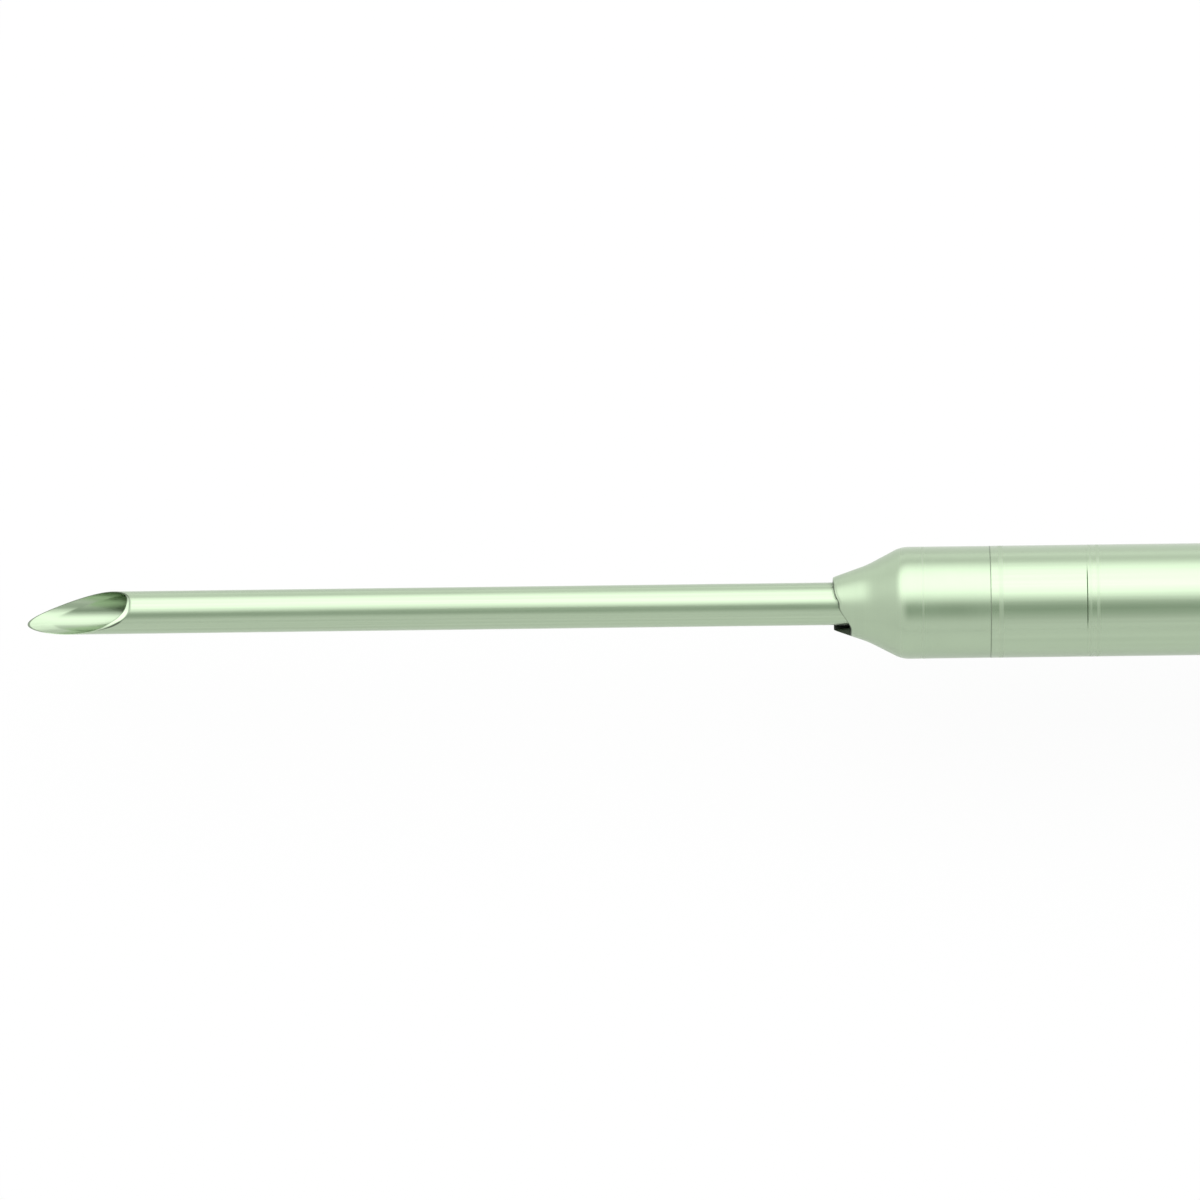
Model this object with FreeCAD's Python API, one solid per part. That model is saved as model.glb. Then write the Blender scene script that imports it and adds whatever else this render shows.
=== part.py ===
import FreeCAD, Part
import math
import os

from FreeCAD import Vector

# Laparoscopic aspiration needle, in millimetres
# +X runs along the shaft from the needle's point towards the surgeon, +Z is up, the bevel faces up.
# The origin is on the shaft's axis, where the shaft leaves the front face of the handle.

X_AXIS = Vector(1, 0, 0)
Y_AXIS = Vector(0, 1, 0)
Z_AXIS = Vector(0, 0, 1)
FULL_TURN = 360.0

# Clearances
bond_gap = 0.02        # radial, in a soldered, pressed or glued joint
running_gap = 0.05     # radial, where one piece slides or turns in another
thread_gap = 0.05      # radial, between a screw and its nut
face_gap = 0.05        # along the axis, between faces that press or turn on each other

# Edges of turned pieces
light_edge = 0.1       # small or hidden pieces
soft_edge = 0.3        # pieces that are handled or that slide
largest_chamfer = 1.2  # an edge up to this size is chamfered, a larger one is rounded

# Working end
sheath_od = 5.0
sheath_wall = 0.4
sheath_reach = 294.0   # front face of the handle to the mouth of the nose
needle_od = 1.9
needle_wall = 0.125
needle_reach = 36.0    # mouth of the nose to the needle's point, pushed fully out
retract_margin = 2.0   # how far the point ends up behind the mouth

# Needle's point, hollow ground by a wheel
bevel_length = 4.64
bevel_wheel_radius = 16.0
point_land = 0.03      # height of the blunt at the very point

# Nose of the sheath
nose_length = 7.0      # mouth to the seam with the tube
nose_shoulder = 3.02   # mouth to where the cone meets the full diameter
nose_waist = 1.55      # mouth to where the cone steepens
nose_waist_rise = 0.54
waist_blend = 4.0
shoulder_blend = 1.5
mouth_gap = 0.13       # radial, between the needle and the mouth
lip_wall = 0.10
lip_blend = 0.07
mouth_depth = 2.2      # length of the mouth's parallel bore
nose_spigot_length = 5.0
seam_chamfer = 0.04

# Relief ground into the lip of the mouth
relief_depth = 0.78
relief_slant_end = 0.41    # below the shaft's axis, across the relief, where the slant bottoms out
relief_far_side = 1.16
relief_near_side = 1.36
relief_blend = 0.12
relief_turn = 70.0         # degrees from the top of the nose towards -Y

# Scribed ring on the tube, deeper on one side
ring_distance = 11.4   # mouth to the ring
ring_width = 0.08      # at the surface, where it is as deep as stated
ring_depth = 0.05
ring_offset = 0.03     # of the ring's axis towards +Y

# Needle guide and needle ferrule
guide_wall = 0.72
guide_length = 3.0
guide_shoulder = 3.2   # mouth to the end of the guide's bore
guide_lead_in = 0.2
ferrule_od = 3.4
ferrule_gap = 1.0      # spigot of the nose to the ferrule
ferrule_socket = 8.0
ferrule_spigot = 6.0
ferrule_cone = 1.6
ferrule_tip_wall = 0.25

# Inner tube and its glide rings
inner_tube_od = 3.0
inner_tube_wall = 0.3
glide_length = 4.0
glide_first = 20.0     # ferrule's shoulder to the first ring
glide_pitch = 90.0
glide_names = ("front", "middle", "rear")

# Collar and union nut that hold the shaft on the handle
collar_spigot_length = 8.0
collar_neck_radius = 3.4
collar_neck_length = 3.0
collar_flange_radius = 4.55
collar_flange_length = 2.0
collar_pilot_length = 6.0
o_ring_setback = 2.2   # flange to the groove
o_ring_length = 1.5
o_ring_section = 0.66  # radial height, as squeezed
o_ring_roundness = 0.45

# Handle barrel
chamber_radius = 3.65
barrel_radius = 6.0
barrel_thread_radius = 4.9
barrel_edge = 0.4
bulkhead_length = 2.0
bulkhead_clearance = 0.15
end_play = 0.2         # what is left at each end of the needle's travel
grip_groove_count = 9
grip_groove_pitch = 3.4
grip_groove_width = 1.3
grip_groove_floor = 0.5
grip_groove_depth = 0.3
grip_start = 18.0      # barrel's front face to the first grip groove

# Travel stop and guide pin
stop_length = 8.0
pin_radius = 0.8
pin_head_radius = 1.7
pin_head_height = 1.4
pin_head_lift = 0.15
pin_head_edge = 0.35

# Nuts with a fluted grip
nut_radius = 6.6
nut_floor = 2.0        # thickness of the shaft nut's end wall
shaft_nut_length = 12.0
lock_nut_length = 13.0
nut_edge = 0.6
nut_nose_edge = 1.2
nut_gap = 0.3          # what a nut leaves open to the piece that it is screwed towards
flute_count = 20
flute_radius = 0.75
flute_depth = 0.32
flute_land = 2.2       # plain band left at each end of the flutes

# Finger flange
flange_half_width = 17.0
flange_half_height = 8.5
flange_corner = 7.5
flange_thickness = 3.0
flange_seat_radius = 5.5
flange_edge = 0.6

# Gland that seals and grips the inner tube
seal_length = 4.0
follower_length = 2.0
pusher_radius = 3.3
gland_mouth = 1.6      # follower to the barrel's rear end

# Hub and thumb disc
hub_gap = 1.0          # lock nut to the hub
thumb_disc_radius = 7.5
thumb_disc_length = 3.5
thumb_disc_edge = 0.8
hub_seat_radius = 3.4
hub_shoulder_radius = 5.0
hub_shoulder_length = 2.4
hub_neck_radius = 3.9
hub_neck_length = 4.0
hub_spigot_radius = 2.6
hub_spigot_length = 4.0
hub_edge = 0.4
hub_floor = 1.5        # inner tube's end to the end of the hub's spigot

# Stopcock
lumen_radius = 1.2
tap_body_radius = 4.0
tap_body_reach = 9.6   # plug's axis to each end of the body
tap_boss_radius = 4.8
tap_boss_half_height = 5.0
tap_edge = 0.4
plug_radius = 2.7      # at the level of the flow bore
plug_taper = 0.04      # change of radius per length
plug_clearance = 0.02
plug_bore_radius = 1.1
plug_recess = 0.2      # body's lower face to the plug's lower end
stem_radius = 2.6
stem_square = 3.0
lever_lift = 0.3
lever_thickness = 3.0
lever_boss_radius = 4.4
lever_length = 17.0
lever_root_width = 4.4
lever_tip_width = 6.0
lever_root_blend = 2.0
lever_tip_blend = 2.7
lever_edge = 0.5
lever_sweep = 90.0     # degrees that the tap turns between its stops
stop_pin_radius = 0.45
stop_pin_orbit = 3.9
stop_pin_height = 2.0
stop_pin_root = 1.5
stop_pin_angle = 225.0
stop_play = 0.6        # degrees
stud_radius = 1.1
stud_end = 0.3         # how far the stud shows below its nut
washer_radius = 3.6
washer_thickness = 0.3
washer_dish = 0.3
plug_nut_flats = 5.0
plug_nut_height = 1.6

# Luer connector
luer_mouth_radius = 2.14
luer_taper = 0.03      # change of radius per length, the 6 percent cone
luer_depth = 9.0
luer_root_radius = 3.36
luer_lug_radius = 3.9
luer_lug_thickness = 1.0
luer_lug_sweep = 76.0  # degrees
luer_neck_length = 2.0
luer_hex_flats = 8.0
luer_hex_length = 3.0
luer_hex_trim = 0.14   # how much its corners are turned down
luer_spigot_radius = 2.5
luer_spigot_length = 4.0
luer_washer_thickness = 0.4
luer_washer_radius = 3.7

# Radii that follow from the sizes above
sheath_radius = sheath_od / 2
sheath_bore = sheath_radius - sheath_wall
needle_radius = needle_od / 2
needle_bore = needle_radius - needle_wall
inner_radius = inner_tube_od / 2
inner_bore = inner_radius - inner_tube_wall
mouth_bore = needle_radius + mouth_gap
mouth_radius = mouth_bore + lip_wall
guide_bore = needle_radius + running_gap
guide_radius = guide_bore + guide_wall
pilot_radius = chamber_radius - bond_gap
nut_bore = barrel_thread_radius + thread_gap
tube_clearance_bore = inner_radius + bulkhead_clearance

# Stations along the shaft
needle_travel = needle_reach + retract_margin
mouth_x = -sheath_reach
point_x = mouth_x - needle_reach
seam_x = mouth_x + nose_length
spigot_end_x = seam_x + nose_spigot_length
ferrule_x = spigot_end_x + ferrule_gap
ferrule_shoulder_x = ferrule_x + ferrule_socket
collar_flange_x = collar_neck_length
barrel_x = collar_flange_x + collar_flange_length
pilot_end_x = barrel_x + collar_pilot_length
shaft_nut_x = collar_flange_x - nut_floor
shaft_nut_end_x = shaft_nut_x + shaft_nut_length
stop_x = pilot_end_x + end_play
pin_x = stop_x + stop_length / 2
chamber_end_x = stop_x + stop_length + needle_travel + end_play
seal_x = chamber_end_x + bulkhead_length
flange_x = seal_x - flange_thickness
follower_x = seal_x + seal_length
follower_end_x = follower_x + follower_length
barrel_end_x = follower_end_x + gland_mouth
lock_nut_x = seal_x + nut_gap
lock_nut_end_x = lock_nut_x + lock_nut_length
hub_x = lock_nut_end_x + hub_gap
hub_shoulder_x = hub_x + thumb_disc_length
hub_neck_x = hub_shoulder_x + hub_shoulder_length
tap_body_x = hub_neck_x + hub_neck_length
hub_end_x = tap_body_x + hub_spigot_length
inner_tube_end_x = hub_end_x - hub_floor
tap_x = tap_body_x + tap_body_reach
tap_end_x = tap_x + tap_body_reach
luer_hex_x = tap_end_x + luer_washer_thickness
luer_neck_x = luer_hex_x + luer_hex_length
luer_end_x = luer_neck_x + luer_neck_length + luer_depth

# Levels on the stopcock
plug_low_z = plug_recess - tap_boss_half_height
lever_z = tap_boss_half_height + lever_lift
washer_top_z = -tap_boss_half_height - face_gap
plug_nut_top_z = washer_top_z - washer_dish - washer_thickness - face_gap
plug_nut_low_z = plug_nut_top_z - plug_nut_height
stud_low_z = plug_nut_low_z - stud_end


def edged_wire(corners, to_point):
    """Closed outline through corners (a, b, edge): the edge is the size of the chamfer or the radius there."""
    joins = []
    for index, (a, b, edge) in enumerate(corners):
        here = Vector(a, b, 0)
        back = Vector(*corners[index - 1][:2], 0) - here
        ahead = Vector(*corners[(index + 1) % len(corners)][:2], 0) - here
        half = back.getAngle(ahead) / 2
        rounded = edge > largest_chamfer
        reach = edge / math.tan(half) if rounded else edge
        back.normalize()
        ahead.normalize()
        middle = None
        if rounded:
            middle = here + (back + ahead).normalize() * (edge / math.sin(half) - edge)
        joins.append((here + back * reach, middle, here + ahead * reach))
    wire = []
    for index, (start, middle, end) in enumerate(joins):
        following = joins[(index + 1) % len(joins)][0]
        if middle:
            wire.append(Part.Arc(to_point(start), to_point(middle), to_point(end)).toShape())
        elif start.distanceToPoint(end) > 1e-7:
            wire.append(Part.makeLine(to_point(start), to_point(end)))
        if end.distanceToPoint(following) > 1e-7:
            wire.append(Part.makeLine(to_point(end), to_point(following)))
    return Part.Wire(wire)


def turned(corners):
    """Solid turned about the X axis from corners (x, radius, edge)."""
    face = Part.Face(edged_wire(corners, lambda p: Vector(p.x, p.y, 0)))
    return face.revolve(Vector(), X_AXIS, FULL_TURN)


def plate(corners, z_low, thickness):
    """Flat plate parallel to the XY plane from corners (x, y, edge)."""
    face = Part.Face(edged_wire(corners, lambda p: Vector(p.x, p.y, z_low)))
    return face.extrude(Z_AXIS * thickness)


def cylinder_x(radius, start_x, end_x):
    """Cylinder on the X axis."""
    return Part.makeCylinder(radius, end_x - start_x, Vector(start_x, 0, 0), X_AXIS)


def tap_cylinder(radius, low_z, top_z):
    """Cylinder on the stopcock's upright axis."""
    return Part.makeCylinder(radius, top_z - low_z, Vector(tap_x, 0, low_z), Z_AXIS)


def sleeve(start_x, end_x, bore, radius, edge=0.0):
    """Turned ring or tube, with the same edge at both ends of its outside."""
    return turned([(start_x, bore, 0), (end_x, bore, 0), (end_x, radius, edge), (start_x, radius, edge)])


def hexagon(flats, base, height, axis):
    """Hexagonal prism, as wide as flats across its flats, on an axis through base."""
    side = X_AXIS.cross(axis) if abs(axis.x) < 0.5 else Y_AXIS
    other = axis.cross(side)
    corner_radius = flats / 2 / math.cos(math.pi / 6)
    points = []
    for step in range(7):
        angle = math.radians(60 * step)
        points.append(base + (side * math.cos(angle) + other * math.sin(angle)) * corner_radius)
    return Part.Face(Part.makePolygon(points)).extrude(axis * height)


def flutes(radius, start_x, end_x):
    """Ring of grooves along X with pointed ends, to be cut from a grip of that radius."""
    orbit = radius + flute_radius - flute_depth
    low_x = start_x - flute_radius
    high_x = end_x + flute_radius
    top = orbit + flute_radius
    outline = [(low_x, orbit, 0), (low_x, top, flute_radius), (high_x, top, flute_radius), (high_x, orbit, 0)]
    face = Part.Face(edged_wire(outline, lambda p: Vector(p.x, p.y, 0)))
    rod = face.revolve(Vector(0, orbit, 0), X_AXIS, FULL_TURN)
    turns = [FULL_TURN * index / flute_count for index in range(flute_count)]
    return Part.makeCompound([rod.rotated(Vector(), X_AXIS, turn) for turn in turns])


def needle_cannula():
    """Hollow needle, its point ground on a wheel so that the bevel is slightly dished and faces up."""
    tube = sleeve(point_x, ferrule_shoulder_x - bond_gap, needle_bore, needle_radius)
    tip = Vector(point_x, 0, point_land - needle_radius)
    heel = Vector(point_x + bevel_length, 0, needle_radius)
    chord = heel - tip
    rise = math.sqrt(bevel_wheel_radius ** 2 - (chord.Length / 2) ** 2)
    wheel_centre = (tip + heel) / 2 + Vector(-chord.z, 0, chord.x).normalize() * rise
    wheel = Part.makeCylinder(bevel_wheel_radius, needle_od * 2, wheel_centre - Y_AXIS * needle_od, Y_AXIS)
    return tube.cut(wheel)


def needle_ferrule():
    """Stepped ferrule that carries the thin needle in the end of the wide inner tube."""
    socket = needle_radius + bond_gap
    tip_radius = socket + ferrule_tip_wall
    spigot = inner_bore - bond_gap
    end_x = ferrule_shoulder_x + ferrule_spigot
    return turned([
        (ferrule_x, socket, 0), (ferrule_shoulder_x, socket, 0),
        (ferrule_shoulder_x, needle_bore, 0), (end_x, needle_bore, 0),
        (end_x, spigot, light_edge), (ferrule_shoulder_x, spigot, 0),
        (ferrule_shoulder_x, ferrule_od / 2, light_edge),
        (ferrule_x + ferrule_cone, ferrule_od / 2, 0),
        (ferrule_x, tip_radius, light_edge),
    ])


def inner_tube():
    """Wide inner tube that carries the needle, and the fluid back to the hub."""
    return sleeve(ferrule_shoulder_x, inner_tube_end_x, inner_bore, inner_radius)


def glide_ring(index):
    """Plastic ring on the inner tube that keeps it central in the sheath."""
    start_x = ferrule_shoulder_x + glide_first + index * glide_pitch
    end_x = start_x + glide_length
    return sleeve(start_x, end_x, inner_radius + bond_gap, sheath_bore - running_gap, light_edge)


def scribed_ring():
    """V-shaped cutter turned about an axis beside the shaft's, so that the ring is deepest on the -Y side."""
    ring_x = mouth_x + ring_distance
    floor_y = ring_offset + sheath_radius - ring_depth
    height = 4 * ring_depth
    half = ring_width / 2 * height / ring_depth
    points = [Vector(ring_x, floor_y), Vector(ring_x + half, floor_y + height), Vector(ring_x - half, floor_y + height)]
    groove = Part.Face(Part.makePolygon(points + points[:1]))
    return groove.revolve(Vector(0, ring_offset, 0), X_AXIS, FULL_TURN)


def outer_tube():
    """Sheath tube, with a chamfered front edge at the seam and a scribed ring that fades out on one side."""
    tube = turned([
        (seam_x, sheath_bore, 0), (0, sheath_bore, 0), (0, sheath_radius, 0),
        (seam_x + seam_chamfer, sheath_radius, 0), (seam_x, sheath_radius - seam_chamfer, 0),
    ])
    return tube.cut(scribed_ring())


def mouth_relief():
    """Cutter that slants one side of the lip back, so that the gap round the needle shows there."""
    cutter = plate([
        (mouth_x - relief_depth, relief_near_side, 0), (mouth_x, relief_near_side, 0),
        (mouth_x + relief_depth, -relief_slant_end, relief_blend),
        (mouth_x + relief_depth, -relief_far_side, relief_blend),
        (mouth_x - relief_depth, -relief_far_side, 0),
    ], 0, sheath_radius)
    return cutter.rotate(Vector(), X_AXIS, relief_turn)


def nose_cone():
    """Tapered nose with a slanted lip, and a spigot that is soldered into the sheath tube."""
    waist_radius = mouth_radius + nose_waist_rise
    spigot_radius = sheath_bore - bond_gap
    bore = guide_radius + bond_gap
    nose = turned([
        (mouth_x, mouth_bore, 0), (mouth_x + mouth_depth, mouth_bore, 0),
        (mouth_x + guide_shoulder, bore, 0), (spigot_end_x, bore, 0),
        (spigot_end_x, spigot_radius, light_edge), (seam_x, spigot_radius, 0),
        (seam_x, sheath_radius - seam_chamfer, 0), (seam_x - seam_chamfer, sheath_radius, 0),
        (mouth_x + nose_shoulder, sheath_radius, shoulder_blend),
        (mouth_x + nose_waist, waist_radius, waist_blend),
        (mouth_x, mouth_radius, lip_blend),
    ])
    return nose.cut(mouth_relief())


def needle_guide():
    """Plastic bush pressed into the nose, in which the needle slides."""
    start_x = mouth_x + guide_shoulder + face_gap
    end_x = start_x + guide_length
    return turned([
        (start_x, guide_bore, guide_lead_in), (end_x, guide_bore, guide_lead_in),
        (end_x, guide_radius, light_edge), (start_x, guide_radius, light_edge),
    ])


def shaft_collar():
    """Flanged collar: its spigot is soldered into the sheath tube, its pilot has a groove for a seal."""
    spigot_radius = sheath_bore - bond_gap
    groove_x = barrel_x + o_ring_setback
    groove_end_x = groove_x + o_ring_length
    groove_radius = pilot_radius - o_ring_section
    return turned([
        (-collar_spigot_length, tube_clearance_bore, 0), (pilot_end_x, tube_clearance_bore, 0),
        (pilot_end_x, pilot_radius, soft_edge), (groove_end_x, pilot_radius, 0),
        (groove_end_x, groove_radius, 0), (groove_x, groove_radius, 0),
        (groove_x, pilot_radius, 0), (barrel_x, pilot_radius, 0),
        (barrel_x, collar_flange_radius, light_edge), (collar_flange_x, collar_flange_radius, light_edge),
        (collar_flange_x, collar_neck_radius, 0), (0, collar_neck_radius, soft_edge),
        (0, spigot_radius, 0), (-collar_spigot_length, spigot_radius, light_edge),
    ])


def collar_o_ring():
    """Ring seal in the collar's groove, drawn as squeezed by the barrel's bore."""
    start_x = barrel_x + o_ring_setback + face_gap
    end_x = start_x + o_ring_length - 2 * face_gap
    low = pilot_radius - o_ring_section + bond_gap
    edge = (pilot_radius - low) * o_ring_roundness
    return turned([
        (start_x, low, edge), (end_x, low, edge), (end_x, pilot_radius, edge), (start_x, pilot_radius, edge),
    ])


def shaft_nut():
    """Fluted union nut that pulls the collar's flange against the barrel."""
    hole = collar_neck_radius + running_gap
    nut = turned([
        (shaft_nut_x, hole, 0), (collar_flange_x, hole, 0), (collar_flange_x, nut_bore, 0),
        (shaft_nut_end_x, nut_bore, light_edge), (shaft_nut_end_x, nut_radius, nut_edge),
        (shaft_nut_x, nut_radius, nut_nose_edge),
    ])
    return nut.cut(flutes(nut_radius, shaft_nut_x + flute_land, shaft_nut_end_x - flute_land))


def guide_slot():
    """Cutter for the slot in the top of the barrel, in which the guide pin travels."""
    half = pin_radius + running_gap
    end_xs = (pin_x, pin_x + needle_travel)
    box = Part.makeBox(needle_travel, half * 2, barrel_radius, Vector(pin_x, -half, 0))
    ends = [Part.makeCylinder(half, barrel_radius, Vector(x, 0, 0), Z_AXIS) for x in end_xs]
    return box.fuse(ends).removeSplitter()


def grip_grooves():
    """Corners of the shallow grooves round the barrel, from its rear to its front."""
    corners = []
    for index in reversed(range(grip_groove_count)):
        centre_x = barrel_x + grip_start + index * grip_groove_pitch
        low_radius = barrel_radius - grip_groove_depth
        corners += [
            (centre_x + grip_groove_width / 2, barrel_radius, 0), (centre_x + grip_groove_floor / 2, low_radius, 0),
            (centre_x - grip_groove_floor / 2, low_radius, 0), (centre_x - grip_groove_width / 2, barrel_radius, 0),
        ]
    return corners


def handle_barrel():
    """Hollow handle: a chamber for the travel stop, a seat for the seal, and a screw thread at each end."""
    shoulder_x = shaft_nut_end_x + nut_gap
    inside = [
        (barrel_x, chamber_radius, 0), (chamber_end_x, chamber_radius, 0),
        (chamber_end_x, tube_clearance_bore, 0), (seal_x, tube_clearance_bore, 0),
        (seal_x, chamber_radius, 0), (barrel_end_x, chamber_radius, 0),
    ]
    rear = [
        (barrel_end_x, barrel_thread_radius, light_edge), (seal_x, barrel_thread_radius, 0),
        (seal_x, flange_seat_radius, 0), (flange_x, flange_seat_radius, 0),
        (flange_x, barrel_radius, light_edge),
    ]
    front = [
        (shoulder_x, barrel_radius, barrel_edge), (shoulder_x, barrel_thread_radius, 0),
        (barrel_x, barrel_thread_radius, light_edge),
    ]
    return turned(inside + rear + grip_grooves() + front).cut(guide_slot())


def travel_stop():
    """Sleeve soldered on the inner tube, which ends the needle's travel at both ends of the chamber."""
    bore = inner_radius + bond_gap
    body = sleeve(stop_x, stop_x + stop_length, bore, chamber_radius - running_gap, soft_edge)
    return body.cut(Part.makeCylinder(pin_radius, chamber_radius, Vector(pin_x, 0, bore), Z_AXIS))


def guide_pin():
    """Headed pin fixed in the travel stop: it rides in the slot and shows how far the needle is out."""
    low_z = inner_radius + 2 * bond_gap
    head_z = barrel_radius + pin_head_lift
    shank = Part.makeCylinder(pin_radius - bond_gap, head_z - low_z, Vector(pin_x, 0, low_z), Z_AXIS)
    head = Part.makeCylinder(pin_head_radius, pin_head_height, Vector(pin_x, 0, head_z), Z_AXIS)
    rim = [edge for edge in head.Edges if edge.Closed and edge.CenterOfMass.z > head_z + pin_head_height / 2]
    return shank.fuse(head.makeChamfer(pin_head_edge, rim))


def finger_flange():
    """Two-winged flange for the fingers: its lower edge is flat, so the instrument doesn't roll."""
    wing = flange_half_width
    high = flange_half_height
    corners = [(wing, high), (-wing, high), (-wing, -high), (wing, -high)]
    outline = [(y, z, flange_corner) for y, z in corners]
    face = Part.Face(edged_wire(outline, lambda p: Vector(flange_x, p.x, p.y)))
    flange = face.extrude(X_AXIS * flange_thickness)
    rims = [edge for edge in flange.Edges if edge.BoundBox.XLength < flange_thickness / 2]
    bore = cylinder_x(flange_seat_radius + bond_gap, flange_x, seal_x)
    return flange.makeFillet(flange_edge, rims).cut(bore)


def gland_seal():
    """Silicone ring squeezed on the inner tube: it seals, and holds the needle where it is put."""
    return sleeve(seal_x, follower_x, inner_radius + bond_gap, chamber_radius - bond_gap, soft_edge)


def gland_washer():
    """Loose follower that spreads the lock nut's push over the seal without twisting it."""
    return sleeve(follower_x, follower_end_x, tube_clearance_bore, chamber_radius - running_gap, light_edge)


def lock_nut():
    """Fluted cap nut on the rear of the barrel: turning it squeezes the gland and locks the needle."""
    pusher_x = follower_end_x + face_gap
    floor_x = barrel_end_x + nut_gap
    nut = turned([
        (pusher_x, tube_clearance_bore, 0), (lock_nut_end_x, tube_clearance_bore, 0),
        (lock_nut_end_x, nut_radius, nut_nose_edge), (lock_nut_x, nut_radius, nut_edge),
        (lock_nut_x, nut_bore, light_edge), (floor_x, nut_bore, 0),
        (floor_x, pusher_radius, 0), (pusher_x, pusher_radius, light_edge),
    ])
    return nut.cut(flutes(nut_radius, lock_nut_x + flute_land, lock_nut_end_x - flute_land))


def hub_sleeve():
    """Hub soldered on the inner tube's rear end: it carries the thumb disc and the stopcock."""
    bore = inner_radius + bond_gap
    floor_x = inner_tube_end_x + bond_gap
    return turned([
        (hub_x, bore, 0), (floor_x, bore, 0), (floor_x, lumen_radius, 0), (hub_end_x, lumen_radius, 0),
        (hub_end_x, hub_spigot_radius, light_edge), (tap_body_x, hub_spigot_radius, 0),
        (tap_body_x, hub_neck_radius, light_edge), (hub_neck_x, hub_neck_radius, hub_edge),
        (hub_neck_x, hub_shoulder_radius, hub_edge), (hub_shoulder_x, hub_shoulder_radius, light_edge),
        (hub_shoulder_x, hub_seat_radius, 0), (hub_x, hub_seat_radius, soft_edge),
    ])


def thumb_disc():
    """Fluted disc pressed on the hub, pushed and pulled to move the needle."""
    disc = sleeve(hub_x, hub_shoulder_x, hub_seat_radius + bond_gap, thumb_disc_radius, thumb_disc_edge)
    return disc.cut(flutes(thumb_disc_radius, hub_x - flute_radius, hub_shoulder_x + flute_radius))


def tapered_pin(low_z, top_z, extra):
    """Cone on the tap's axis that follows the plug's taper, with extra radius all round."""
    low_radius = plug_radius + plug_taper * low_z + extra
    top_radius = plug_radius + plug_taper * top_z + extra
    return Part.makeCone(low_radius, top_radius, top_z - low_z, Vector(tap_x, 0, low_z), Z_AXIS)


def stop_pin_shape(extra_radius, extra_length):
    """Cylinder on the stop pin's axis, from its foot in the boss upwards."""
    angle = math.radians(stop_pin_angle)
    orbit = Vector(math.cos(angle), math.sin(angle), 0) * stop_pin_orbit
    foot = Vector(tap_x, 0, tap_boss_half_height - stop_pin_root - extra_length) + orbit
    height = stop_pin_root + stop_pin_height + extra_length
    return Part.makeCylinder(stop_pin_radius + extra_radius, height, foot, Z_AXIS)


def stopcock_body():
    """Straight body with an upright boss, bored to a cone for the plug."""
    low_z = -tap_boss_half_height
    top_z = tap_boss_half_height
    barrel = turned([
        (tap_body_x, lumen_radius, 0), (tap_end_x, lumen_radius, 0),
        (tap_end_x, tap_body_radius, tap_edge), (tap_body_x, tap_body_radius, tap_edge),
    ])
    boss = tap_cylinder(tap_boss_radius, low_z, top_z)
    rims = [edge for edge in boss.Edges if edge.Closed]
    flow = cylinder_x(lumen_radius, tap_body_x, tap_end_x)
    front_socket = cylinder_x(hub_spigot_radius + bond_gap, tap_body_x, hub_end_x + bond_gap)
    rear_floor_x = tap_end_x - luer_spigot_length - bond_gap
    rear_socket = cylinder_x(luer_spigot_radius + thread_gap, rear_floor_x, tap_end_x)
    plug_seat = tapered_pin(low_z, top_z, plug_clearance)
    body = barrel.fuse(boss.makeChamfer(tap_edge, rims))
    return body.cut([flow, front_socket, rear_socket, plug_seat, stop_pin_shape(bond_gap, bond_gap)])


def stop_pin():
    """Small pin that limits the lever's turn."""
    return stop_pin_shape(0, 0)


def stopcock_plug():
    """Tapered plug with the cross bore, a square for the lever on top and a screwed stud below."""
    plug = tapered_pin(plug_low_z, tap_boss_half_height, 0)
    stem = tap_cylinder(stem_radius, tap_boss_half_height, lever_z)
    half = stem_square / 2
    square = Part.makeBox(stem_square, stem_square, lever_thickness, Vector(tap_x - half, -half, lever_z))
    stud = tap_cylinder(stud_radius, stud_low_z, plug_low_z)
    bore = cylinder_x(plug_bore_radius, tap_x - tap_boss_radius, tap_x + tap_boss_radius)
    return plug.fuse([stem, square, stud]).cut(bore)


def stop_recess():
    """Cutter under the lever's boss that lets it turn from one side of the stop pin to the other."""
    pin_half = math.degrees(math.asin(stop_pin_radius / stop_pin_orbit)) + stop_play
    sweep = lever_sweep + 2 * pin_half
    base = Vector(tap_x, 0, lever_z)
    inner_wall = stop_pin_orbit - stop_pin_radius - running_gap
    ring = Part.makeCylinder(2 * lever_boss_radius, stop_pin_height, base, Z_AXIS, sweep)
    ring = ring.cut(Part.makeCylinder(inner_wall, stop_pin_height, base, Z_AXIS))
    return ring.rotate(base, Z_AXIS, stop_pin_angle + pin_half - sweep)


def stopcock_lever():
    """Flared lever on the plug's square, in line with the bore when the tap is open."""
    root = lever_root_width / 2
    tip = lever_tip_width / 2
    boss_x = tap_x + lever_boss_radius
    end_x = tap_x + lever_length
    arm = plate([
        (tap_x, root, 0), (boss_x, root, lever_root_blend), (end_x, tip, lever_tip_blend),
        (end_x, -tip, lever_tip_blend), (boss_x, -root, lever_root_blend), (tap_x, -root, 0),
    ], lever_z, lever_thickness)
    top_z = lever_z + lever_thickness
    lever = arm.fuse(tap_cylinder(lever_boss_radius, lever_z, top_z)).removeSplitter()
    rims = [edge for edge in lever.Edges if edge.BoundBox.ZMin > lever_z + lever_thickness / 2]
    square = stem_square + 2 * bond_gap
    hole = Part.makeBox(square, square, lever_thickness, Vector(tap_x - square / 2, -square / 2, lever_z))
    return lever.makeFillet(lever_edge, rims).cut([hole, stop_recess()])


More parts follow.
